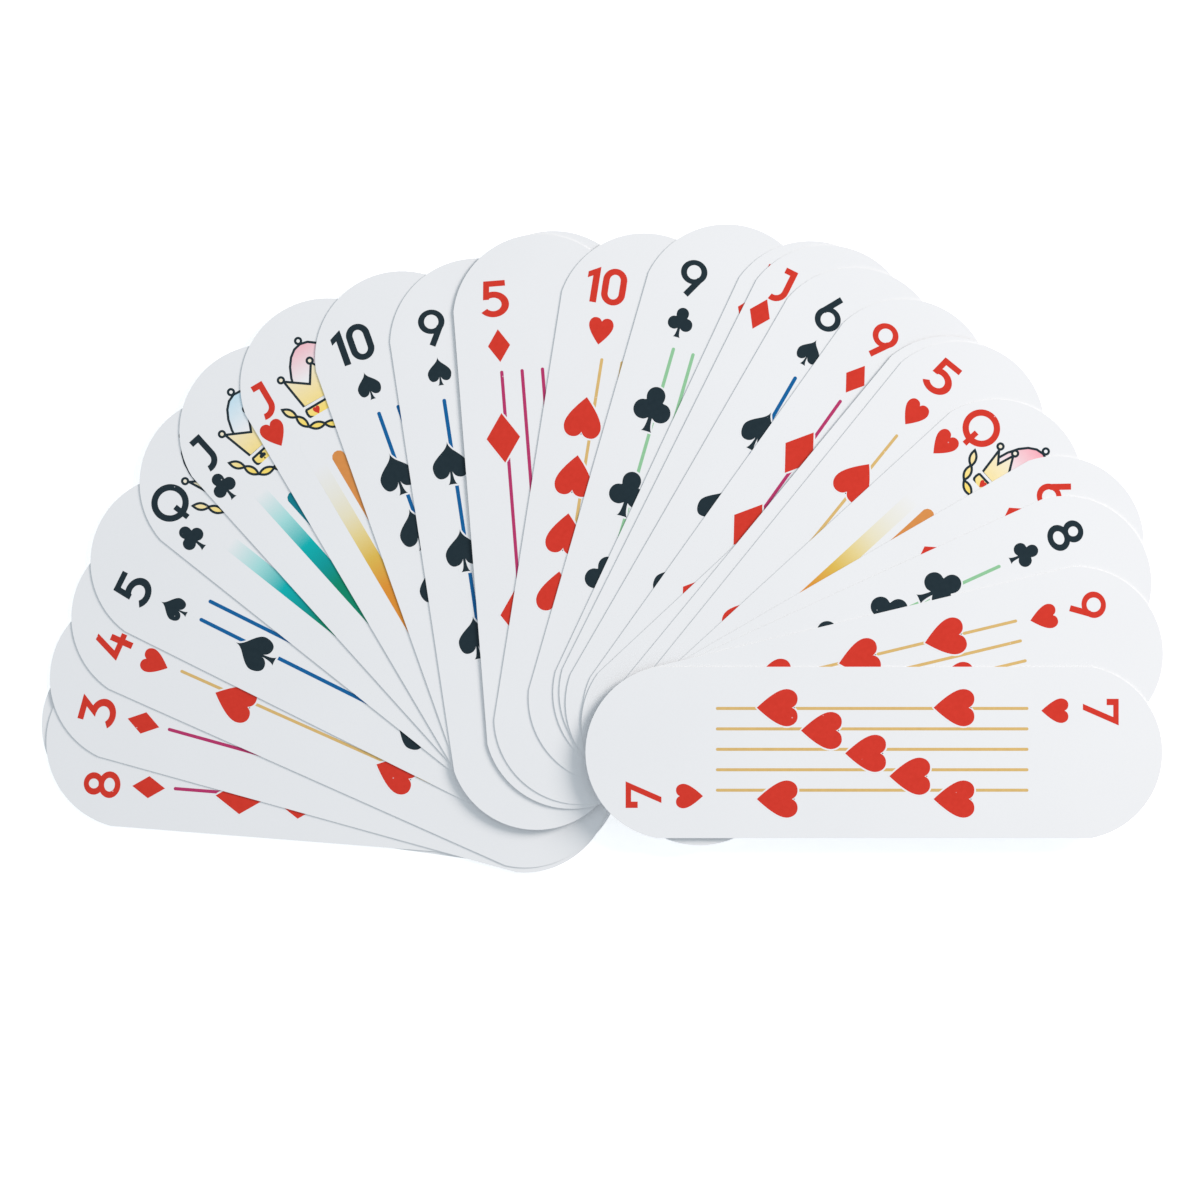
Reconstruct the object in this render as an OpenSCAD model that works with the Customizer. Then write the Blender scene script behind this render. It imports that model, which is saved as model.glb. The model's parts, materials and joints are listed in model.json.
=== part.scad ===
// Fan of playing cards: long narrow cards with rounded ends, spread from a grip at their inner ends.
// Millimetres, +Z up. The origin is the grip, on the table, and the top card lies along +X.

/* [Card] */
// Length of a card, from tip to tip
card_l = 192; // [150:1:240]
// Width of a card
card_w = 57; // [44:0.5:70]
// How much larger the radius of an end is than half the width
end_swell = 0.5; // [0:0.1:4]
// Thickness of the card stock
card_t = 0.3; // [0.2:0.01:0.6]

/* [Fan] */
// Clearance between a card and the next one above it
card_gap = 0.06; // [0.02:0.01:0.4]
// Length of the cards' inner ends that lies behind the grip
grip_l = 6; // [2:0.5:20]
// How far the fan is open: 0 is a squared pack, 1 is the fan as shown
fan_open = 1; // [0:0.05:1.15]

/* [Hidden] */
$fn = 128;
end_r = card_w / 2 + end_swell;
pitch = card_t + card_gap;
stock = [0.91, 0.92, 0.93];

// Cards from the bottom of the fan to its top. Each row is the card's name, the angle through which it has
// turned from the squared pack, and the point about which it turned, measured from the grip.
CARDS = [
    ["two_of_spades", 172, [-1, -6.5]],
    ["eight_of_diamonds", 175.5, [0, -4.5]],
    ["three_of_diamonds", 164.5, [-1, -9]],
    ["four_of_hearts", 156, [-0.5, -10]],
    ["five_of_spades", 153.5, [0, -3.5]],
    ["queen_of_clubs", 141.5, [0, -4.5]],
    ["jack_of_clubs", 132, [-1.5, -6.5]],
    ["jack_of_hearts", 120.5, [-2.5, -10]],
    ["ten_of_spades", 109.5, [-1.5, -13.5]],
    ["nine_of_spades", 98.5, [-1, -18]],
    ["eight_of_hearts", 93, [1.5, -10]],
    ["five_of_diamonds", 94.5, [1.5, -10.5]],
    ["ten_of_hearts", 81, [1, -12]],
    ["nine_of_clubs", 74, [1.5, -3.5]],
    ["king_of_diamonds", 65, [2, 1.5]],
    ["jack_of_diamonds", 63.5, [2.5, 3]],
    ["six_of_spades", 60, [5.5, 2.5]],
    ["nine_of_diamonds", 54.5, [10, 5.5]],
    ["three_of_clubs", 43, [10.5, 3]],
    ["seven_of_diamonds", 50.5, [19.5, 9.5]],
    ["five_of_hearts", 51, [24.5, 13]],
    ["queen_of_hearts", 42.5, [30, 10.5]],
    ["six_of_diamonds", 30, [24, 23.5]],
    ["eight_of_clubs", 24.5, [25.5, 20]],
    ["nine_of_hearts", 13.5, [18.5, 17.5]],
    ["seven_of_hearts", 0, [0, 0]],
];

// Straight sides, and ends whose curve meets the sides at a slight corner
module card_outline() {
    intersection() {
        square([card_l, card_w], center = true);
        union() {
            square([card_l - 2 * end_r, 2 * end_r], center = true);
            for (side = [-1, 1])
                translate([side * (card_l / 2 - end_r), 0])
                    circle(r = end_r);
        }
    }
}

// One card in the squared pack, on the table, with its inner tip just behind the grip
module squared_card() {
    translate([card_l / 2 - grip_l, 0, 0])
        linear_extrude(card_t)
            card_outline();
}

// The card on one level of the fan, counted from 0 at the bottom, turned out of the pack
module fanned_card(level) {
    turn = CARDS[level][1] * fan_open;
    point = CARDS[level][2];
    color(stock)
        translate([0, 0, level * pitch])
            translate(point)
                rotate(turn)
                    translate(-point)
                        squared_card();
}

for (level = [0 : len(CARDS) - 1])
    fanned_card(level);
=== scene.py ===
import json
import math

import bmesh
import bpy
from mathutils import Matrix, Vector


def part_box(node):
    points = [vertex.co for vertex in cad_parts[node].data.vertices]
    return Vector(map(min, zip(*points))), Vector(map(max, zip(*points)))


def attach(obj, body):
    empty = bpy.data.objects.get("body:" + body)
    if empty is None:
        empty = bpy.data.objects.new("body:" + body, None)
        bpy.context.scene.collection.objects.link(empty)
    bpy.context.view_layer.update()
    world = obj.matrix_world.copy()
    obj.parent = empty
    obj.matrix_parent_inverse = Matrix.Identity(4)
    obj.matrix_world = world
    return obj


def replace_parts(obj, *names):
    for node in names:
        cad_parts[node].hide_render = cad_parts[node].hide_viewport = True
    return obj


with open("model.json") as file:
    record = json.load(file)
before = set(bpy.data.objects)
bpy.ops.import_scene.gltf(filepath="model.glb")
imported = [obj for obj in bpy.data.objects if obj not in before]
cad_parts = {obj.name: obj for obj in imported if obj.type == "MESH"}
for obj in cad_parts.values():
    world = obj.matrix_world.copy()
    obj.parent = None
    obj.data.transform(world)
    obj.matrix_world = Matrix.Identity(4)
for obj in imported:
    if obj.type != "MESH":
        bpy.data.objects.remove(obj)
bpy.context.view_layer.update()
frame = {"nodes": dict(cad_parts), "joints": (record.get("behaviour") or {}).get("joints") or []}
mm = 0.001
print("frame loaded:", len(frame["nodes"]), "cards")


# A wrapped socket: plain expressions on it add Math nodes
class Wire:
    def __init__(self, finish, socket):
        self.finish = finish
        self.socket = socket

    def maths(self, operation, first, second=0.0):
        return self.finish.node("ShaderNodeMath", {"operation": operation}, {0: first, 1: second})

    def __add__(self, other):
        return self.maths("ADD", self, other)

    def __sub__(self, other):
        return self.maths("SUBTRACT", self, other)

    def __rsub__(self, other):
        return self.maths("SUBTRACT", other, self)

    def __mul__(self, other):
        return self.maths("MULTIPLY", self, other)

    def __truediv__(self, other):
        return self.maths("DIVIDE", self, other)

    def __pow__(self, other):
        return self.maths("POWER", self, other)

    def __abs__(self):
        return self.maths("ABSOLUTE", self)

    def atLeast(self, other):
        return self.maths("MAXIMUM", self, other)

    def foldedAt(self, length):
        return self.maths("PINGPONG", self, length)

    def clamped(self):
        return self.finish.node("ShaderNodeClamp", {}, {"Value": self})

    __radd__ = __add__
    __rmul__ = __mul__


# One material, with its own small node editor
class Finish:
    def __init__(self, name, specular):
        self.material = bpy.data.materials.new(name)
        self.material.use_nodes = True
        self.tree = self.material.node_tree
        self.shader = self.tree.nodes["Principled BSDF"]
        self.set("Specular IOR Level", specular)

    def feed(self, socket, value):
        if isinstance(value, Wire):
            self.tree.links.new(value.socket, socket)
        else:
            socket.default_value = value

    def set(self, socketName, value):
        self.feed(self.shader.inputs[socketName], value)

    def node(self, kind, settings, sockets, output=None):
        made = self.tree.nodes.new(kind)
        for key, value in settings.items():
            if key == "stops":
                self.setStops(made.color_ramp, value)
            else:
                setattr(made, key, value)
        for key, value in sockets.items():
            if isinstance(key, int):
                socket = made.inputs[key]
            else:
                socket = next(s for s in made.inputs if s.name == key and s.enabled)
            self.feed(socket, value)
        shown = next(s for s in made.outputs if s.enabled and output in (None, s.name))
        return Wire(self, shown)

    def setStops(self, ramp, stops):
        while len(ramp.elements) < len(stops):
            ramp.elements.new(0.5)
        for element, (place, colour) in zip(ramp.elements, stops):
            element.position = place
            element.color = colour

    def noise(self, size, detail=2.0):  # size of its grains in metres
        where = self.node("ShaderNodeTexCoord", {}, {}, "Object")
        sockets = {"Vector": where, "Scale": 1 / size, "Detail": detail}
        return self.node("ShaderNodeTexNoise", {}, sockets, "Fac")

    def cells(self, size, output):
        where = self.node("ShaderNodeTexCoord", {}, {}, "Object")
        return self.node("ShaderNodeTexVoronoi", {}, {"Vector": where, "Scale": 1 / size}, output)

    def printPlace(self):  # along and across the card, in millimetres, from its own map
        where = self.node("ShaderNodeTexCoord", {}, {}, "UV")
        return [self.node("ShaderNodeSeparateXYZ", {}, {"Vector": where}, axis) for axis in "XY"]

    def mix(self, share, first, second):
        sockets = {"Factor": share, "A": first, "B": second}
        return self.node("ShaderNodeMix", {"data_type": "RGBA"}, sockets)

    def bump(self, height, depth, strength):
        sockets = {"Height": height, "Distance": depth, "Strength": strength}
        self.set("Normal", self.node("ShaderNodeBump", {}, sockets))


def screenColour(red, green, blue):  # 0 to 255 as seen, to the linear light that shaders use
    return [((c / 255 + 0.055) / 1.055) ** 2.4 for c in (red, green, blue)] + [1.0]


def tinted(colour, factor, grey=0.0):  # darker or paler, with a little grey added
    return [c * factor + grey for c in colour[:3]] + [1.0]


# The cards' own sizes come from the top card, which lies along +X
cardNames = sorted(frame["nodes"], key=lambda name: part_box(name)[0].z)
topLow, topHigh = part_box(cardNames[-1])
card = {
    "length": topHigh.x - topLow.x,
    "width": topHigh.y - topLow.y,
    "thick": topHigh.z - topLow.z,
    "endSwell": 0.5 * mm,  # the ends' radius beyond half the width
    "arcSteps": 36,
    "edgeRound": 0.03 * mm,
    "roundSteps": 2,
    "rimAngle": 1.0,  # radians, edges sharper than this are rounded
    "levelNormal": 0.99,  # faces whose normal is steeper than this are the face or the back
}
card["endRadius"] = card["width"] / 2 + card["endSwell"]
packMiddle = Vector(((topLow.x + topHigh.x) / 2, 0, 0))
printSharp = 6.0  # per mm, how crisp the shaded printing is


# Stock: satin coated board, a little mottled
stock = {
    "pale": screenColour(227, 229, 232),
    "dull": screenColour(223, 225, 228),
    "specular": 0.35,
    "cloudSize": 38 * mm,
    "grainSize": 0.5 * mm,
    "cloudWhite": 0.7,
    "grainWhite": 0.6,
    "whiteDrop": 0.15,
    "leastRough": 0.3,
    "cloudRough": 0.1,
    "grainRough": 0.12,
    "bumpDepth": 0.02 * mm,
    "bumpStrength": 0.12,
}


def facePaper():
    finish = Finish("card face", stock["specular"])
    cloud = finish.noise(stock["cloudSize"], detail=3)
    grain = finish.noise(stock["grainSize"], detail=3)
    whiteness = (cloud * stock["cloudWhite"] + grain * stock["grainWhite"] - stock["whiteDrop"]).clamped()
    finish.set("Base Color", finish.mix(whiteness, stock["dull"], stock["pale"]))
    finish.set("Roughness", grain * stock["grainRough"] + cloud * stock["cloudRough"] + stock["leastRough"])
    finish.bump(grain, stock["bumpDepth"], stock["bumpStrength"])
    return finish.material


# Back: a lattice with a stud in each of its gaps, inside a frame line. Plain lengths are in millimetres.
back = {
    "ink": screenColour(28, 76, 140),
    "cloudSize": 20 * mm,
    "margin": 4.5,  # of white round the lattice
    "pitch": 5.0,
    "lineHalf": 0.32,
    "studFrom": 1.5,  # half pitches, the distances to the two nearest lines together
    "frameOut": 1.0,  # from the lattice's rim
    "frameHalf": 0.45,
    "leastInk": 0.75,
    "grainInk": 0.3,
    "leastRough": 0.34,
    "inkRough": 0.06,
}


def backPaper():
    finish = Finish("card back", stock["specular"])
    along, across = finish.printPlace()
    cloud = finish.noise(back["cloudSize"], detail=3)
    grain = finish.noise(stock["grainSize"], detail=3)
    straight = (card["length"] / 2 - card["endRadius"]) / mm
    beyond = (abs(along) - straight).atLeast(0)
    reach = (beyond * beyond + across * across) ** 0.5
    inside = card["endRadius"] / mm - back["margin"] - reach  # in from the lattice's rim
    field = (inside * printSharp).clamped()
    frameLine = ((back["frameHalf"] - abs(inside + back["frameOut"])) * printSharp).clamped()
    half = back["pitch"] / 2
    rising = (along + across).foldedAt(half)
    falling = (along - across).foldedAt(half)
    ribs = [(back["lineHalf"] - slope) * printSharp for slope in (rising, falling)]
    studs = (rising + falling - half * back["studFrom"]) * printSharp
    pattern = ribs[0].atLeast(ribs[1]).atLeast(studs).clamped()
    inked = (pattern * field).atLeast(frameLine)
    cover = inked * (grain * back["grainInk"] + back["leastInk"]).clamped()
    paper = finish.mix(cloud, stock["dull"], stock["pale"])
    finish.set("Base Color", finish.mix(cover, paper, back["ink"]))
    finish.set("Roughness", grain * stock["grainRough"] + inked * back["inkRough"] + back["leastRough"])
    finish.bump(grain, stock["bumpDepth"], stock["bumpStrength"])
    return finish.material


# Cut edge: the board's white core, rough with fibres
edge = {
    "core": screenColour(243, 243, 240),
    "specular": 0.3,
    "fibreSize": 0.12 * mm,
    "leastRough": 0.6,
    "fibreRough": 0.2,
    "bumpStrength": 0.3,
}


def edgePaper():
    finish = Finish("cut edge", edge["specular"])
    fibre = finish.noise(edge["fibreSize"], detail=4)
    finish.set("Base Color", finish.mix(fibre, stock["dull"], edge["core"]))
    finish.set("Roughness", fibre * edge["fibreRough"] + edge["leastRough"])
    finish.bump(fibre, stock["bumpDepth"], edge["bumpStrength"])
    return finish.material


def cardBlank():
    bm = bmesh.new()
    radius = card["endRadius"]
    reach = math.asin(card["width"] / 2 / radius)  # the end's arc runs this far to each side
    centre = Vector((card["length"] / 2 - radius, 0, 0))
    corner = bm.verts.new(centre + radius * Vector((math.cos(reach), -math.sin(reach), 0)))
    bmesh.ops.spin(bm, geom=[corner], cent=centre, axis=(0, 0, 1), angle=2 * reach, steps=card["arcSteps"])
    halfTurnCopy(bm)
    bmesh.ops.bridge_loops(bm, edges=bm.edges[:])
    thicken(bm, card["thick"])
    rims = [e for e in bm.edges if e.calc_face_angle(0) > card["rimAngle"]]
    bmesh.ops.bevel(bm, geom=rims, offset=card["edgeRound"], offset_type="OFFSET", affect="EDGES",
                    segments=card["roundSteps"], profile=0.5, material=-1)
    bm.normal_update()
    level = card["levelNormal"]
    for face in bm.faces:
        facing = face.normal.z
        face.material_index = 0 if facing > level else 1 if facing < -level else 2  # face, back, cut edge
    return bm


def halfTurnCopy(bm):  # every card and its print look the same after half a turn
    copied = bmesh.ops.duplicate(bm, geom=bm.verts[:] + bm.edges[:] + bm.faces[:])["geom"]
    verts = [g for g in copied if isinstance(g, bmesh.types.BMVert)]
    bmesh.ops.rotate(bm, verts=verts, cent=(0, 0, 0), matrix=Matrix.Rotation(math.pi, 3, "Z"))


def thicken(bm, height):  # flat faces become closed solids, standing on their plane
    tops = bmesh.ops.extrude_face_region(bm, geom=bm.faces[:])["geom"]
    verts = [g for g in tops if isinstance(g, bmesh.types.BMVert)]
    bmesh.ops.translate(bm, verts=verts, vec=(0, 0, height))
    bmesh.ops.recalc_face_normals(bm, faces=bm.faces)


def mapPrint(bm):  # the card's own map: millimetres along and across
    layer = bm.loops.layers.uv.verify()
    for face in bm.faces:
        for loop in face.loops:
            loop[layer].uv = loop.vert.co.xy / mm


# Where a card lies: turned out of the squared pack about its own point, on its own level
turns = {joint["child"]: joint for joint in frame["joints"]}


def placeOf(name):
    place = Matrix.Translation((0, 0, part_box(name)[0].z))
    if name in turns:
        point = Vector(turns[name]["pos_m"])
        point.z = 0
        turned = Matrix.Rotation(math.radians(-turns[name]["range_deg"][0]), 4, "Z")
        place = place @ Matrix.Translation(point) @ turned @ Matrix.Translation(-point)
    return place @ Matrix.Translation(packMiddle)


def finishPiece(bm, name, pieceName, materials):
    mesh = bpy.data.meshes.new(pieceName)
    bm.transform(placeOf(name))
    bm.to_mesh(mesh)
    bm.free()
    for material in materials:
        mesh.materials.append(material)
    piece = bpy.data.objects.new(pieceName, mesh)
    bpy.context.scene.collection.objects.link(piece)
    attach(piece, name)
    return piece


# Inks, as they look in print
inks = {
    "red_ink": screenColour(200, 51, 37),
    "dark_ink": screenColour(26, 42, 50),
    "tan_ink": screenColour(207, 174, 110),
    "magenta_ink": screenColour(173, 49, 100),
    "blue_ink": screenColour(6, 91, 149),
    "green_ink": screenColour(138, 190, 148),
    "yellow_ink": screenColour(236, 210, 106),
    "sky_ink": screenColour(164, 208, 228),
    "pink_ink": screenColour(232, 150, 166),
}
inkFades = {"yellow_ink": (86, 60), "sky_ink": (72, 88), "pink_ink": (72, 88)}  # mm along: bare, full
inkLook = {
    "specular": 0.1,
    "blotchSize": 1.4 * mm,
    "speckSize": 0.22 * mm,
    "blotchDensity": 0.9,
    "speckDensity": 0.5,
    "densityDrop": 0.2,
    "thin": (1.1, 0.006),  # factor and grey of the ink where it is thin
    "thick": 0.92,
    "leastRough": 0.3,
    "blotchRough": 0.16,
    "speckRough": 0.1,
    "bumpDepth": 0.01 * mm,
    "bumpStrength": 0.15,
}
dust = {"cell": 2.6 * mm, "spot": 0.1, "spotSharp": 25, "share": 0.16, "shareSharp": 100, "cover": 0.5}


def dustSpots(finish):  # rare pale specks, in about one cell out of six
    near = dust["spot"] - finish.cells(dust["cell"], "Distance")
    lot = finish.node("ShaderNodeSeparateColor", {}, {"Color": finish.cells(dust["cell"], "Color")}, "Red")
    drawn = dust["share"] - lot
    return (near * dust["spotSharp"]).clamped() * (drawn * dust["shareSharp"]).clamped()


def inkFinish(name, colour):
    finish = Finish(name.replace("_", " "), inkLook["specular"])
    blotch = finish.noise(inkLook["blotchSize"], detail=3)
    speck = finish.noise(inkLook["speckSize"])
    density = blotch * inkLook["blotchDensity"] + speck * inkLook["speckDensity"] - inkLook["densityDrop"]
    tint = finish.mix(density.clamped(), tinted(colour, *inkLook["thin"]), tinted(colour, inkLook["thick"]))
    if name in inkFades:
        bare, full = inkFades[name]
        along = finish.printPlace()[0]
        tint = finish.mix(((along - bare) / (full - bare)).clamped(), stock["pale"], tint)
    finish.set("Base Color", finish.mix(dustSpots(finish) * dust["cover"], tint, stock["pale"]))
    roughness = blotch * inkLook["blotchRough"] + speck * inkLook["speckRough"] + inkLook["leastRough"]
    finish.set("Roughness", roughness)
    finish.bump(speck, inkLook["bumpDepth"], inkLook["bumpStrength"])
    return finish.material


# Bands of the court cards: a fading one, and an even bar beside it. Plain lengths are in millimetres.
bands = {
    "fadeFrom": 55.0,
    "fadeTo": -45.0,
    "fadeWidth": 5.2,
    "fadeAcross": 15.2,
    "barFrom": 46.6,
    "barTo": -46.6,
    "barWidth": 4.6,
    "barAcross": 7.9,
    "specular": 0.15,
    "speckSize": 0.3 * mm,
    "speckReach": 3,  # by how much the specks fray the fading
    "blotchSize": 2 * mm,
    "barDark": 0.85,
    "leastRough": 0.34,
    "blotchRough": 0.14,
}
bandBare = (225, 227, 230)
bandStops = {  # from the outer end inwards
    "clubs": [(0.02, bandBare), (0.14, (160, 212, 212)), (0.25, (0, 170, 172)), (0.34, (0, 146, 146)),
              (0.42, (0, 130, 100)), (1.0, (10, 112, 86))],
    "hearts": [(0.1, bandBare), (0.21, (223, 222, 212)), (0.29, (222, 216, 188)), (0.37, (220, 202, 138)),
               (0.45, (212, 178, 80)), (0.56, (212, 140, 50)), (1.0, (204, 112, 40))],
    "diamonds": [(0.06, bandBare), (0.2, (236, 200, 208)), (0.4, (212, 86, 130)), (0.6, (172, 40, 100)),
                 (1.0, (140, 26, 84))],
}
barColours = {"clubs": (0, 122, 138), "hearts": (214, 142, 76), "diamonds": (150, 34, 92)}


def bandFinish(suit):
    finish = Finish(suit + " band ink", bands["specular"])
    along, across = finish.printPlace()
    speck = finish.noise(bands["speckSize"])
    blotch = finish.noise(bands["blotchSize"])
    passed = bands["fadeFrom"] - along + (speck - 0.5) * bands["speckReach"]
    share = passed / (bands["fadeFrom"] - bands["fadeTo"])
    stops = [(place, screenColour(*colour)) for place, colour in bandStops[suit]]
    faded = finish.node("ShaderNodeValToRGB", {"stops": stops}, {"Fac": share}, "Color")
    bar = ((bands["fadeAcross"] + bands["barAcross"]) / 2 - across) * printSharp
    barInk = screenColour(*barColours[suit])
    barTint = finish.mix(blotch, barInk, tinted(barInk, bands["barDark"]))
    finish.set("Base Color", finish.mix(bar.clamped(), faded, barTint))
    finish.set("Roughness", blotch * bands["blotchRough"] + bands["leastRough"])
    return finish.material


# Flat shapes, drawn upright: x to the right, y up, in millimetres
def flatShape(name, knots, steps=8):  # knot: x, y, handle before (x, y), handle after (x, y)
    curve = bpy.data.curves.new(name, "CURVE")
    curve.dimensions = "2D"
    curve.fill_mode = "BOTH"
    curve.resolution_u = steps
    spline = curve.splines.new("BEZIER")
    spline.bezier_points.add(len(knots) - 1)
    spline.use_cyclic_u = True
    for point, (x, y, beforeX, beforeY, afterX, afterY) in zip(spline.bezier_points, knots):
        point.handle_left_type = "FREE"
        point.handle_right_type = "FREE"
        point.co = (x * mm, y * mm, 0)
        point.handle_left = ((x + beforeX) * mm, (y + beforeY) * mm, 0)
        point.handle_right = ((x + afterX) * mm, (y + afterY) * mm, 0)
    holder = bpy.data.objects.new(name, curve)
    mesh = bpy.data.meshes.new_from_object(holder)
    bpy.data.objects.remove(holder)
    return mesh


def offsetShape(shape, inwards, mitred=True):  # the same shape, smaller or larger all round
    bm = bmesh.new()
    bm.from_mesh(shape)
    rim = bmesh.ops.inset_region(bm, faces=bm.faces[:], thickness=inwards * mm, use_boundary=True,
                                 use_even_offset=mitred)["faces"]
    bmesh.ops.delete(bm, geom=rim, context="FACES")
    mesh = bpy.data.meshes.new(shape.name + " offset")
    bm.to_mesh(mesh)
    bm.free()
    return mesh


def mirrored(half):  # the right half's knots, from the top of the axis to its foot, and their twins
    twins = [(-x, y, -afterX, afterY, -beforeX, beforeY)
             for x, y, beforeX, beforeY, afterX, afterY in reversed(half[1:-1])]
    return half + twins


pipHalves = {
    "hearts": [(0, 2.7, -0.6, 1.3, 0.6, 1.3), (3.05, 4.6, -1.5, 0, 1.8, 0), (6.2, 0.9, 0, 2.1, 0, -2.7),
               (0, -9.0, 3.2, 3.4, -3.2, 3.4)],
    "diamonds": [(0, 8.3, -1.8, -2.7, 1.8, -2.7), (5.6, 0, -1.8, 2.7, -1.8, -2.7),
                 (0, -8.3, 1.8, 2.7, -1.8, 2.7)],
    "spades": [(0, 7.1, -0.1, -1.2, 0.1, -1.2), (1.4, 4.4, -0.7, 0.8, 1.6, -1.5),
               (5.95, -1.2, 0, 2.1, 0, -2.2), (3.4, -5.1, 1.5, 0, -1.5, 0),
               (0.4, -2.9, 0.4, -1.4, 0.05, -2.0), (1.55, -7.3, -0.8, 0.5, -0.5, 0.1),
               (0, -7.2, 0.5, 0, -0.5, 0)],
    "clubs": [(0, 7.6, -1.7, 0, 1.7, 0), (3.1, 4.5, 0, 1.7, 0, -0.6), (2.8, 2.8, 0.2, 0.6, 0.3, -0.1),
              (3.3, 2.6, -0.3, 0, 1.7, 0), (6.3, -0.7, 0, 1.8, 0, -1.8), (3.1, -3.95, 1.7, 0, -1.2, 0),
              (0.65, -3.0, 1.0, -0.7, 0.05, -2.0), (1.8, -7.7, -0.8, 0.6, -0.6, 0.1),
              (0, -7.6, 0.6, 0, -0.6, 0)],
}
pipShapes = {suit: flatShape(suit + " pip", mirrored(half)) for suit, half in pipHalves.items()}
indexPipScale = 0.66

# Rank signs as strokes. bar: from, to, and the vector across it if its ends aren't square.
# arc: centre, radius, first and last angle, how much wider than high. loop: centre, half sizes, the hole's
# half sizes, and the straight length between its ends.
pen = {
    "width": 2.05,
    "step": 0.002,  # a later stroke lies this much higher, so that crossing strokes share no face
    "arcDegrees": 9,  # of each short straight in an arc
    "loopCorners": 40,
    "middle": 0.001,  # a loop's points this near its middle stay there when it is drawn out
}
bowlStretch = 1.22
ring = {"outer": (4.43, 4.05), "hole": (2.4, 2.37)}  # the round of 6 and 9
signs = {
    "2": [("arc", (0, 2.9), 2.3, 165, -40), ("bar", (2.3, 1.9), (-2.6, -4.8), (2.6, 0)),
          ("bar", (-4.0, -5.2), (4.0, -5.2), (0, 1.9))],
    "3": [("bar", (-4.1, 5.15), (2.7, 5.15), (0, 2.0)), ("bar", (3.2, 6.15), (-1.0, 0.6), (2.35, 0)),
          ("arc", (-0.6, -1.75), 3.25, 89, -144, bowlStretch)],
    "4": [("bar", (0.3, 6.15), (-3.5, -2.9), (2.15, 0)), ("bar", (-3.7, -1.95), (4.7, -1.95), (0, 1.9)),
          ("bar", (2.1, 1.85), (2.1, -5.85), (2.15, 0))],
    "5": [("bar", (-3.4, 5.2), (3.75, 5.2), (0, 1.9)), ("bar", (-2.4, 6.15), (-2.95, -0.05), (2.0, 0)),
          ("arc", (-0.6, -1.7), 3.25, 125, -144, bowlStretch)],
    "6": [("loop", (0, -2.1), ring["outer"], ring["hole"]), ("bar", (0.75, 5.85), (-2.6, -0.2))],
    "7": [("bar", (-3.75, 5.2), (4.1, 5.2), (0, 1.8)), ("bar", (-2.7, 6.1), (-2.7, 2.1), (2.1, 0)),
          ("bar", (4.1, 6.1), (-1.1, -5.8), (2.0, 0))],
    "8": [("loop", (0, 2.8), (3.75, 3.35), (1.65, 1.65)), ("loop", (0, -2.45), (4.45, 3.65), (2.3, 1.8))],
    "9": [("loop", (0, 2.1), ring["outer"], ring["hole"]), ("bar", (-0.75, -5.85), (2.6, 0.2))],
    "10": [("bar", (-3.9, 5.0), (-3.9, -5.9), (2.25, 0)), ("bar", (-6.75, 3.0), (-2.8, 5.1), (0, 2.05)),
           ("loop", (2.45, 0.1), (4.05, 4.05), (1.85, 2.05), 4.2)],
    "J": [("bar", (-1.6, 4.75), (2.6, 4.75), (0, 2.0)), ("bar", (1.6, 5.75), (1.6, -2.0)),
          ("arc", (-1.75, -1.95), 3.35, 1, -104)],
    "Q": [("loop", (0, 0), (6.35, 6.2), (4.2, 4.1)), ("bar", (0, -2.1), (0, -7.6), (1.85, 0))],
    "K": [("bar", (-3.0, 6.1), (-3.0, -6.1)), ("bar", (3.2, 6.1), (-2.6, -0.6), (2.7, 0)),
          ("bar", (-0.6, 1.4), (3.6, -6.1), (2.5, 0))],
}
rankSigns = {"two": "2", "three": "3", "four": "4", "five": "5", "six": "6", "seven": "7", "eight": "8",
             "nine": "9", "ten": "10", "jack": "J", "queen": "Q", "king": "K"}


def strokeBar(bm, start, end, across=None):
    start = Vector(start)
    along = Vector(end) - start
    if across is None:
        across = along.orthogonal().normalized() * pen["width"]
    middle = start + along / 2
    shear = Matrix(((across[0], along.x, 0, middle.x), (across[1], along.y, 0, middle.y),
                    (0, 0, 1, 0), (0, 0, 0, 1)))
    bmesh.ops.create_grid(bm, x_segments=1, y_segments=1, size=0.5, matrix=shear)


def strokeArc(bm, centre, radius, first, last, stretch=1.0):
    before = len(bm.verts)
    steps = math.ceil(abs(last - first) / pen["arcDegrees"])
    heading = Vector((math.cos(math.radians(first)), math.sin(math.radians(first)), 0))
    ends = [bm.verts.new(heading * (radius + side * pen["width"] / 2)) for side in (-1, 1)]
    nib = bm.edges.new(ends)
    sweep = math.radians(last - first)
    bmesh.ops.spin(bm, geom=[nib, *ends], cent=(0, 0, 0), axis=(0, 0, 1), angle=sweep, steps=steps)
    bm.verts.ensure_lookup_table()
    place = Matrix.Translation((*centre, 0)) @ Matrix.Diagonal((stretch, 1, 1, 1))
    bmesh.ops.transform(bm, matrix=place, verts=bm.verts[before:])


def strokeLoop(bm, centre, outer, hole, straight=0):
    edges = []
    for halfWidth, halfHeight in (outer, hole):
        size = Matrix.Diagonal((halfWidth, halfHeight, 1, 1))
        verts = bmesh.ops.create_circle(bm, cap_ends=False, segments=pen["loopCorners"], radius=1,
                                        matrix=size)["verts"]
        for side in (-1, 1):
            half = [v for v in verts if v.co.y * side > pen["middle"]]
            bmesh.ops.translate(bm, verts=half, vec=(0, side * straight / 2, 0))
        bmesh.ops.translate(bm, verts=verts, vec=(*centre, 0))
        edges += {e for v in verts for e in v.link_edges}
    bmesh.ops.bridge_loops(bm, edges=edges)


strokeMakers = {"bar": strokeBar, "arc": strokeArc, "loop": strokeLoop}


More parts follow.
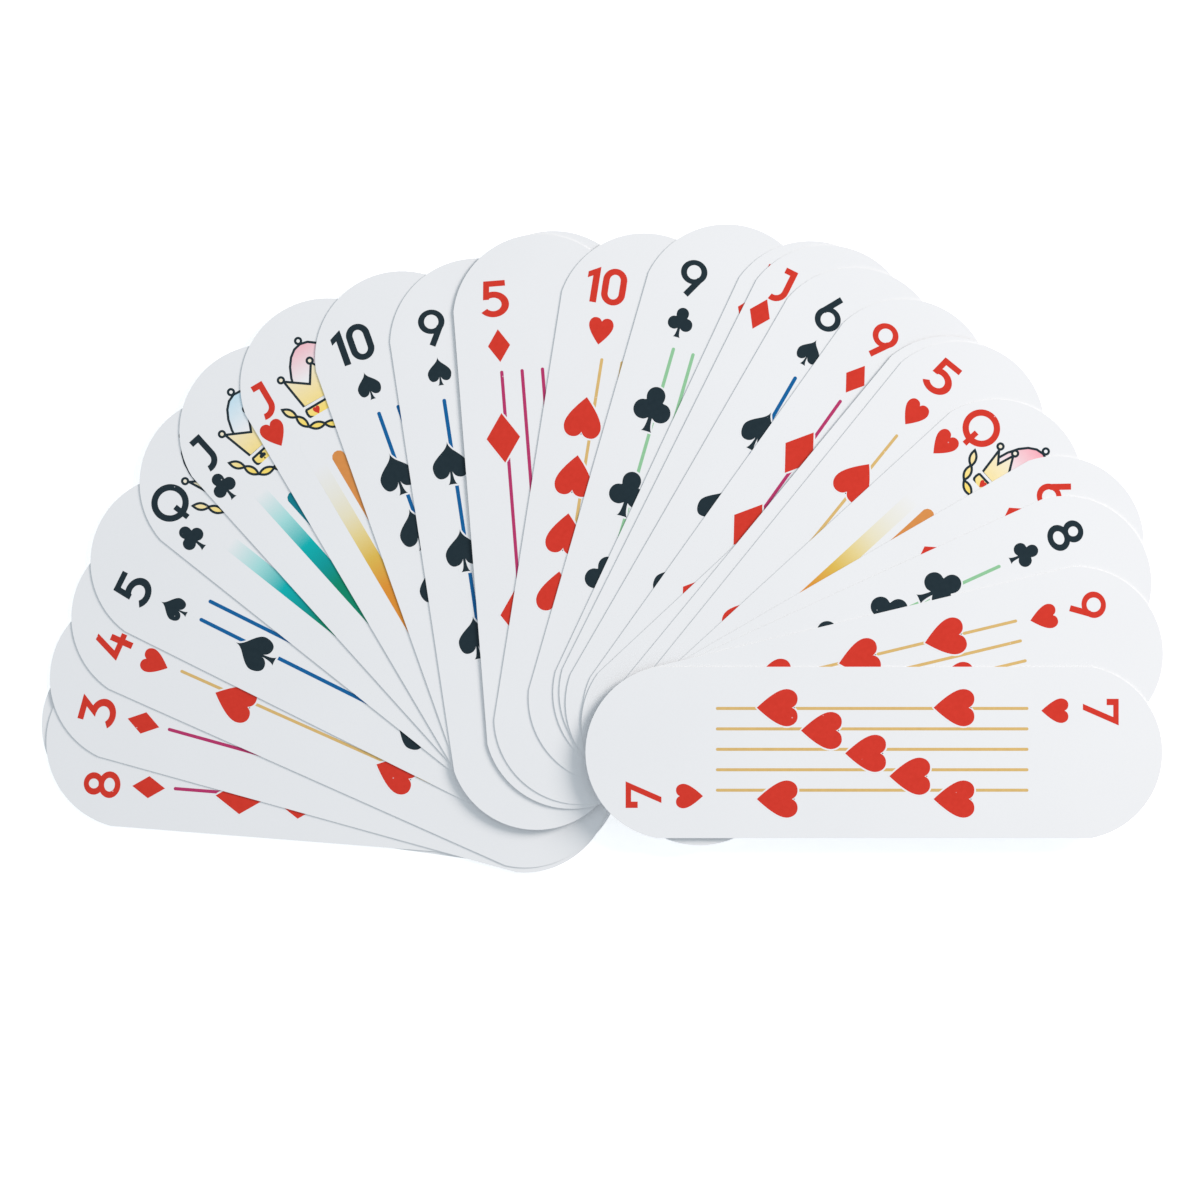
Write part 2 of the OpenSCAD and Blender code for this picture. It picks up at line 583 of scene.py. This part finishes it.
def signShape(sign):
    bm = bmesh.new()
    for level, (kind, *sizes) in enumerate(signs[sign]):
        before = len(bm.verts)
        strokeMakers[kind](bm, *sizes)
        bm.verts.ensure_lookup_table()
        bmesh.ops.translate(bm, verts=bm.verts[before:], vec=(0, 0, level * pen["step"]))
    bmesh.ops.scale(bm, vec=(mm, mm, mm), verts=bm.verts)
    mesh = bpy.data.meshes.new("rank " + sign)
    bm.to_mesh(mesh)
    bm.free()
    return mesh


signShapes = {sign: signShape(sign) for sign in signs}
print("shapes drawn:", len(pipShapes), "pips,", len(signShapes), "ranks")


def stampPlace(along, across, scale=1.0):  # upright, with the card's outer end up
    spot = Matrix.Translation((along * mm, across * mm, 0))
    return spot @ Matrix.Rotation(-math.pi / 2, 4, "Z") @ Matrix.Scale(scale, 4)


def stamp(bm, shape, place):
    before = len(bm.verts)
    bm.from_mesh(shape)
    bm.verts.ensure_lookup_table()
    bmesh.ops.transform(bm, matrix=place, verts=bm.verts[before:])


# How the pips lie on the number cards, in millimetres along and across the card
pipPlan = {"end": 29.4, "side": 15.2}


def rows(alongs, acrosses):
    return [(along, across) for along in alongs for across in acrosses]


def pipPlaces(rank):
    end = pipPlan["end"]
    side = pipPlan["side"]
    third = end / 3
    corners = rows((end, -end), (side, -side))
    pairs = rows((end, third, -third, -end), (side, -side))
    slope = [(end * step / 2, -side * step / 2) for step in (2, 1, 0, -1, -2)]
    return {
        "two": rows((end, -end), (0,)),
        "three": rows((end, 0, -end), (0,)),
        "four": corners,
        "five": corners + [(0, 0)],
        "six": rows((end, 0, -end), (side, -side)),
        "seven": slope + [(end, side), (-end, -side)],
        "eight": pairs,
        "nine": rows((end, 0, -end), (side, 0, -side)),
        "ten": pairs + rows((2 * third, -2 * third), (0,)),
    }[rank]


# Index in the corner: the rank, then a small pip below it
courts = ("jack", "queen", "king")
indexPlan = {
    "number": {"rank": (75.9, 14.4), "pip": (60.9, 14.2)},
    "jack": {"rank": (75.7, 20.0), "pip": (63.1, 22.8)},
    "jack_of_diamonds": {"rank": (75.5, 20.0), "pip": (63.9, 22.8)},
    "jack_of_hearts": {"rank": (73.6, 19.9), "pip": (61.9, 22.5)},
    "queen": {"rank": (77.2, 17.2), "pip": (64.4, 21.8)},
    "king": {"rank": (75.3, 17.7), "pip": (64.6, 21.5)},
}
indexLift = {"hearts": 2.0, "diamonds": -0.8, "spades": 0.7, "clubs": -0.4}  # of a pip at full size
bodyLift = {"hearts": 0.0, "diamonds": 0.2, "spades": 1.2, "clubs": 0.9}

# Thin lines behind the pips, broken by a rim of bare paper round each one
linePlan = {"reach": 52.0, "pitch": 6.8, "steps": (2, 1, 0, -1, -2), "drift": 0.4, "keyline": 0.55}
lineWidth = {"hearts": 1.05, "diamonds": 1.15, "spades": 1.3, "clubs": 1.15}
lineCorners = 12  # of a line's two round ends together
keylineHalves = {  # for the pips with a stem, whose notches fill up
    "spades": [(0, 7.8, -0.4, -1.0, 0.4, -1.0), (1.9, 4.6, -0.8, 0.9, 1.6, -1.5),
               (6.5, -1.2, 0, 2.2, 0, -2.5), (3.5, -5.65, 1.7, 0, -0.6, 0), (2.4, -6.1, 0.2, 0.2, 0, -0.6),
               (2.4, -7.9, 0, 0.6, -0.8, 0), (0, -7.8, 0.5, 0, -0.5, 0)],
    "clubs": [(0, 8.15, -2.0, 0, 2.0, 0), (3.65, 4.5, 0, 2.0, 0, -0.6), (3.4, 3.15, 0.2, 0.6, 0.2, 0),
              (3.6, 3.1, -0.2, 0, 2.0, 0), (6.85, -0.7, 0, 2.1, 0, -2.1), (3.2, -4.5, 2.0, 0, -0.9, 0),
              (1.4, -4.2, 0.5, -0.1, 0.1, -1.6), (2.5, -8.3, -0.7, 0.5, -0.8, 0), (0, -8.2, 0.6, 0, -0.6, 0)],
}
keylineShapes = {}
for suit in ("hearts", "diamonds"):
    keylineShapes[suit] = offsetShape(pipShapes[suit], -linePlan["keyline"], False)
for suit, half in keylineHalves.items():
    keylineShapes[suit] = flatShape(suit + " keyline", mirrored(half))
lineInk = {"hearts": "tan_ink", "diamonds": "magenta_ink", "spades": "blue_ink", "clubs": "green_ink"}
mainInk = {"hearts": "red_ink", "diamonds": "red_ink", "spades": "dark_ink", "clubs": "dark_ink"}
turnedCards = ("four_of_hearts", "five_of_hearts", "ten_of_hearts")  # these lie the other way up
lineDrift = {"seven_of_hearts": 1.35, "nine_of_hearts": 1.6, "ten_of_hearts": 1.35, "four_of_hearts": 0.35,
             "five_of_hearts": -0.4, "five_of_spades": 0.0}
printDrift = {  # along and across the card, from an off-centre cut
    "eight_of_diamonds": (0.3, 0.4), "three_of_diamonds": (0.5, -0.5), "four_of_hearts": (-1.0, 0),
    "five_of_spades": (-0.1, 0.1), "queen_of_clubs": (0.4, -0.3), "ten_of_spades": (0.7, -0.6),
    "nine_of_spades": (-1.0, -0.5), "five_of_diamonds": (-0.5, 0), "ten_of_hearts": (-0.3, 0.4),
    "nine_of_clubs": (-1.5, -0.5), "king_of_diamonds": (-0.8, -0.4), "jack_of_diamonds": (-0.8, -0.4),
    "six_of_spades": (-1.0, -1.0), "nine_of_diamonds": (-0.8, 0.1), "five_of_hearts": (-0.8, -0.3),
    "queen_of_hearts": (-0.8, 0.4), "six_of_diamonds": (-1.3, 0.3), "eight_of_clubs": (-2.0, 0.1),
    "nine_of_hearts": (-1.5, 0.1), "seven_of_hearts": (-0.6, -0.3), "jack_of_hearts": (0, 0.9),
}


# Court emblem: a heraldic crown over a cap, in a laurel, dark outlines with coloured fills
emblem = {
    "middle": {"jack": (70.0, 0.0), "queen": (73.2, -3.0), "king": (71.0, -2.0)},  # along and across the card
    "outline": 0.8,
    "capTop": 14.6,  # mm above the emblem's middle, of the knob on the cap
    "tipsAbove": 2.0,  # the crown's corners higher than this carry a ball
    "rimDrop": -8.0,
    "jewelScale": 0.19,
    "jewels": (-6.2, 0, 6.2),
    "leafRing": 15.5,
    "leafAngles": (198, 217, 236, 255),
    "leafTilt": 16,
}
# Metres above the lowest film. Each further part of the crown lies one step higher.
lift = {"lining": 4e-6, "crown": 10e-6, "gilding": 14e-6, "jewel": 16e-6, "step": 0.4e-6}
liningInk = {"clubs": "sky_ink", "hearts": "pink_ink", "diamonds": "pink_ink"}


def straightKnots(*corners):  # knots without handles
    return [(x, y, 0, 0, 0, 0) for x, y in corners]


crownHalves = {
    "jack": straightKnots((0, 7.0), (4.0, 0.8), (11.6, 6.2), (9.8, -5.4), (0, -5.4)),
    "queen": straightKnots((0, 7.4), (2.7, 1.0), (6.4, 6.6), (7.8, 0.8), (11.4, 4.6), (9.6, -5.4), (0, -5.4)),
    "king": straightKnots((0, 8.0), (2.4, 1.4), (5.6, 6.0), (7.4, 1.0), (11.4, 6.6), (9.6, -5.4), (0, -5.4)),
}
liningHalf = [(0, 13.8, -5.6, 0, 5.6, 0), (10.0, -3.6, 0, 9.4, 0, 0), (0, -3.6, 0, 0, 0, 0)]
rimHalf = [(0, 1.7, 0, 0, 0, 0), (9.4, 1.7, 0, 0, 0.9, 0), (9.4, -1.7, 0.9, 0, 0, 0), (0, -1.7, 0, 0, 0, 0)]
leafHalf = [(0, 3.4, -0.9, -1.2, 0.9, -1.2), (1.5, 0, 0, 1.3, 0, -1.3), (0, -3.4, 0.9, 1.2, -0.9, 1.2)]
ballHalf = [(0, 1.4, -0.77, 0, 0.77, 0), (1.4, 0, 0, 0.77, 0, -0.77), (0, -1.4, 0.77, 0, -0.77, 0)]
# The emblem's other parts, each with the steps in its curves
emblemHalves = {"lining": (liningHalf, 6), "rim": (rimHalf, 4), "leaf": (leafHalf, 5), "ball": (ballHalf, 4)}

emblemShapes = {rank: flatShape(rank + " crown", mirrored(half), 1) for rank, half in crownHalves.items()}
for part, (half, steps) in emblemHalves.items():
    emblemShapes[part] = flatShape(part, mirrored(half), steps)
emblemFills = {part: offsetShape(shape, emblem["outline"]) for part, shape in emblemShapes.items()}


def emblemParts(rank):  # what stands where, upright about the emblem's own middle
    rimPlace = Matrix.Translation((0, emblem["rimDrop"] * mm, 0))
    parts = [("lining", Matrix()), (rank, Matrix()), ("rim", rimPlace)]
    tips = [(x, y) for x, y, *_ in mirrored(crownHalves[rank]) if y > emblem["tipsAbove"]]
    tips.append((0, emblem["capTop"]))
    parts += [("ball", Matrix.Translation((x * mm, y * mm, 0))) for x, y in tips]
    for side in (1, -1):
        for step, angle in enumerate(emblem["leafAngles"]):
            heading = Matrix.Rotation(math.radians(angle), 4, "Z")
            spoke = Matrix.Translation((emblem["leafRing"] * mm, 0, 0))
            tilt = Matrix.Rotation(math.radians(emblem["leafTilt"] * (-1) ** step), 4, "Z")
            parts.append(("leaf", Matrix.Diagonal((side, 1, 1, 1)) @ heading @ spoke @ tilt))
    return parts


def raised(height):
    return Matrix.Translation((0, 0, height))


def drawEmblem(rank, outline, gilding, lining):
    home = stampPlace(*emblem["middle"][rank])
    for step, (part, place) in enumerate(emblemParts(rank)):
        if part == "lining":
            stamp(outline, emblemShapes[part], home @ place)
            stamp(lining, emblemFills[part], home @ place @ raised(lift["lining"]))
        else:
            apart = raised(step * lift["step"])
            stamp(outline, emblemShapes[part], home @ place @ apart @ raised(lift["crown"]))
            stamp(gilding, emblemFills[part], home @ place @ apart @ raised(lift["gilding"]))
    for bm in (outline, gilding, lining):
        mapPrint(bm)
        halfTurnCopy(bm)


def drawJewels(bm, rank, suit):  # small pips along the crown's rim
    home = stampPlace(*emblem["middle"][rank])
    for x in emblem["jewels"]:
        spot = Matrix.Translation((x * mm, emblem["rimDrop"] * mm, lift["jewel"]))
        stamp(bm, pipShapes[suit], home @ spot @ Matrix.Scale(emblem["jewelScale"], 4))


def drawIndex(bm, name, rank, suit):
    plan = indexPlan.get(name) or indexPlan[rank if rank in courts else "number"]
    stamp(bm, signShapes[rankSigns[rank]], stampPlace(*plan["rank"]))
    along, across = plan["pip"]
    stamp(bm, pipShapes[suit], stampPlace(along + indexLift[suit] * indexPipScale, across, indexPipScale))


def drawBodyPips(bm, shape, rank, suit):
    for along, across in pipPlaces(rank):
        stamp(bm, shape, stampPlace(along + bodyLift[suit], across))


def drawPips(bm, name, rank, suit):
    drawIndex(bm, name, rank, suit)
    if rank in courts:
        drawJewels(bm, rank, suit)
    halfTurnCopy(bm)
    if rank not in courts:
        drawBodyPips(bm, pipShapes[suit], rank, suit)


def drawLine(bm, start, end, across, width):  # a slim bar with round ends
    aslant = Matrix.Rotation(math.pi / lineCorners, 4, "Z")  # so that no corner lies on the middle line
    radius = width / 2 * mm
    rim = bmesh.ops.create_circle(bm, cap_ends=True, segments=lineCorners, radius=radius,
                                  matrix=aslant)["verts"]
    halves = [[v for v in rim if v.co.x * side > 0] for side in (-1, 1)]
    for verts, along in zip(halves, (start + width / 2, end - width / 2)):
        bmesh.ops.translate(bm, verts=verts, vec=(along * mm, across * mm, 0))


def drawLines(bm, name, suit):
    for step in linePlan["steps"]:
        across = step * linePlan["pitch"] + lineDrift.get(name, linePlan["drift"])
        drawLine(bm, -linePlan["reach"], linePlan["reach"], across, lineWidth[suit])


def drawBands(bm):
    for kind in ("fade", "bar"):
        drawLine(bm, *(bands[kind + key] for key in ("To", "From", "Across", "Width")))
    mapPrint(bm)
    halfTurnCopy(bm)


# Ink stands on the card in films a few microns thick, sunk a little so that no faces lie on each other
film = {"sink": 20e-6, "line": 8e-6, "bare": 12e-6, "pip": 16e-6}


def inkPiece(bm, name, layer, height, material):
    spin = math.pi if name in turnedCards else 0
    thicken(bm, height + film["sink"])
    along, across = printDrift.get(name, (0, 0))
    drift = Matrix.Translation((along * mm, across * mm, card["thick"] - film["sink"]))
    bm.transform(Matrix.Rotation(spin, 4, "Z") @ drift)
    finishPiece(bm, name, name + "." + layer, [material])


# Every card: its stock, then its inks
stockMaterials = [facePaper(), backPaper(), edgePaper()]
inkMaterials = {name: inkFinish(name, colour) for name, colour in inks.items()}
bandMaterials = {suit: bandFinish(suit) for suit in bandStops}

for name in cardNames:
    rank, suit = name.split("_of_")
    blank = cardBlank()
    mapPrint(blank)
    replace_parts(finishPiece(blank, name, name + ".card", stockMaterials), name)
    pips = bmesh.new()
    drawPips(pips, name, rank, suit)
    inkPiece(pips, name, "pips", film["pip"], inkMaterials[mainInk[suit]])
    under = bmesh.new()
    if rank in courts:
        drawBands(under)
        inkPiece(under, name, "bands", film["line"], bandMaterials[suit])
        emblemInks = {"outline": "dark_ink", "gilding": "yellow_ink", "lining": liningInk[suit]}
        layers = {layer: bmesh.new() for layer in emblemInks}
        drawEmblem(rank, **layers)
        for layer, bm in layers.items():
            inkPiece(bm, name, layer, film["line"], inkMaterials[emblemInks[layer]])
    else:
        drawLines(under, name, suit)
        inkPiece(under, name, "lines", film["line"], inkMaterials[lineInk[suit]])
        bare = bmesh.new()  # unprinted paper round each pip, over the lines
        drawBodyPips(bare, keylineShapes[suit], rank, suit)
        inkPiece(bare, name, "keylines", film["bare"], stockMaterials[0])
print("cards made:", len(cardNames))


# Stage: a pale floor, soft light from the upper right and a far camera straight above
stage = {
    "floorSize": 8.0,
    "floorDrop": 0.05 * mm,
    "floorPale": screenColour(252, 252, 252),
    "floorDull": screenColour(249, 249, 250),
    "floorCloud": 0.2,  # metres, the size of its mottling
    "floorRough": 0.8,
    "floorSpecular": 0.2,
    "floorGlow": 0.4,  # painted light: the floor itself glows, standing in for a light table lit from below, which pales the cards' shadow on it
    "worldStrength": 0.7,
    "worldColour": (0.88, 0.95, 1.0, 1.0),
    "keyFrom": (1.35, 0.8, 0.87),
    "keySize": 0.8,
    "keyPower": 31.0,
    "keyColour": (1.0, 0.9, 0.83),
}
# The picture: its pixels, how many of them lie on a metre of the table, and the pixel over the grip
photo = {"pixels": 1200, "perMetre": 2997.0, "grip": (603.4, 752.0), "cameraHeight": 3.0, "sensor": 36.0,
         "farthest": 50}


def makeFloor():
    bm = bmesh.new()
    bmesh.ops.create_grid(bm, x_segments=1, y_segments=1, size=stage["floorSize"] / 2)
    bmesh.ops.translate(bm, verts=bm.verts, vec=(0, 0, -stage["floorDrop"]))
    mesh = bpy.data.meshes.new("floor")
    bm.to_mesh(mesh)
    bm.free()
    finish = Finish("floor", stage["floorSpecular"])
    cloud = finish.noise(stage["floorCloud"])
    finish.set("Base Color", finish.mix(cloud, stage["floorDull"], stage["floorPale"]))
    finish.set("Roughness", stage["floorRough"])
    # Painted light: the floor glows in its own pale colour, so the cards' shadow on it stays faint
    finish.set("Emission Color", stage["floorPale"])
    finish.set("Emission Strength", stage["floorGlow"])
    mesh.materials.append(finish.material)
    floor = bpy.data.objects.new("floor", mesh)
    bpy.context.scene.collection.objects.link(floor)


def makeLight():
    world = bpy.data.worlds.new("studio")
    world.use_nodes = True
    background = world.node_tree.nodes["Background"]
    background.inputs["Color"].default_value = stage["worldColour"]
    background.inputs["Strength"].default_value = stage["worldStrength"]
    bpy.context.scene.world = world
    lamp = bpy.data.lights.new("key", "AREA")
    lamp.shape = "DISK"
    lamp.size = stage["keySize"]
    lamp.energy = stage["keyPower"]
    lamp.color = stage["keyColour"]
    key = bpy.data.objects.new("key", lamp)
    key.location = stage["keyFrom"]
    key.rotation_euler = Vector(stage["keyFrom"]).to_track_quat("Z", "Y").to_euler()
    bpy.context.scene.collection.objects.link(key)


def makeCamera():
    lens = bpy.data.cameras.new("camera")
    camera = bpy.data.objects.new("camera", lens)
    middle = photo["pixels"] / 2
    camera.location.x = (middle - photo["grip"][0]) / photo["perMetre"]
    camera.location.y = (photo["grip"][1] - middle) / photo["perMetre"]
    camera.location.z = photo["cameraHeight"]
    lens.sensor_width = photo["sensor"]
    lens.lens = photo["sensor"] * photo["cameraHeight"] * photo["perMetre"] / photo["pixels"]
    lens.clip_end = photo["farthest"]
    bpy.context.scene.collection.objects.link(camera)
    bpy.context.scene.camera = camera


makeFloor()
makeLight()
makeCamera()
bpy.context.scene.view_settings.view_transform = "Standard"
print("stage set")
